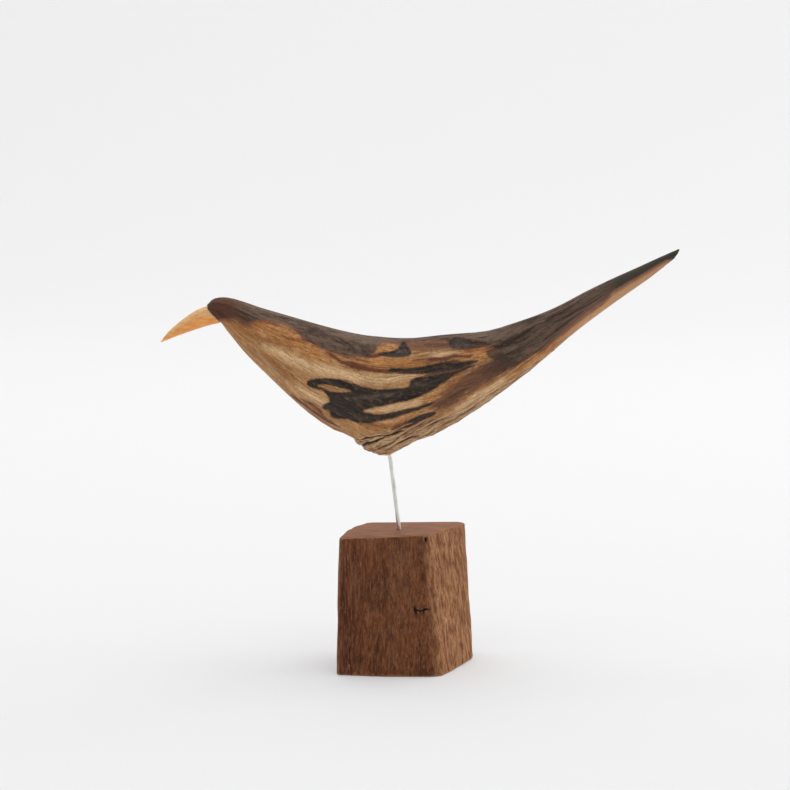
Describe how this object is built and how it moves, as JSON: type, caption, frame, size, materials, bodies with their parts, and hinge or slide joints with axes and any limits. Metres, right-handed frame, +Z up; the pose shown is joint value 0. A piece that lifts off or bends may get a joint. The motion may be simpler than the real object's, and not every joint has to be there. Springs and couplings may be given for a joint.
{
  "type": "bird figurine on stand",
  "caption": "Carved wooden bird with a separate pale beak, held by a thin steel wire in a rough wood block; it turns on the wire and lifts off.",
  "frame": {"origin": "middle of the block's flat underside", "axes": "+Z up, -X the way the beak points, +X towards the tail, the bird's plane of symmetry is y = 0"},
  "size_m": [0.2983, 0.0528, 0.2444],
  "materials": {
    "block_wood": "rough sawn, weathered brown, matte",
    "rod_steel": "drawn bright wire",
    "figured_wood": "carved, dark stained figure over tan, oiled satin",
    "beak_wood": "whittled pale orange wood, satin",
    "dowel_wood": "plain birch peg"
  },
  "bodies": {
    "base": {"base_block": "block_wood"},
    "rod": {"stand_rod": "rod_steel"},
    "bird": {"bird_body": "figured_wood", "beak": "beak_wood", "beak_dowel": "dowel_wood"}
  },
  "joints": [
    {"name": "rod_swivel", "type": "hinge", "parent": "base", "child": "rod", "pos_m": [-0.003, 0, 0.08], "axis": [-0.1219, 0, 0.9925], "continuous": true},
    {"name": "bird_lift", "type": "slide", "parent": "rod", "child": "bird", "axis": [-0.1219, 0, 0.9925], "range_m": [0, 0.035]}
  ]
}
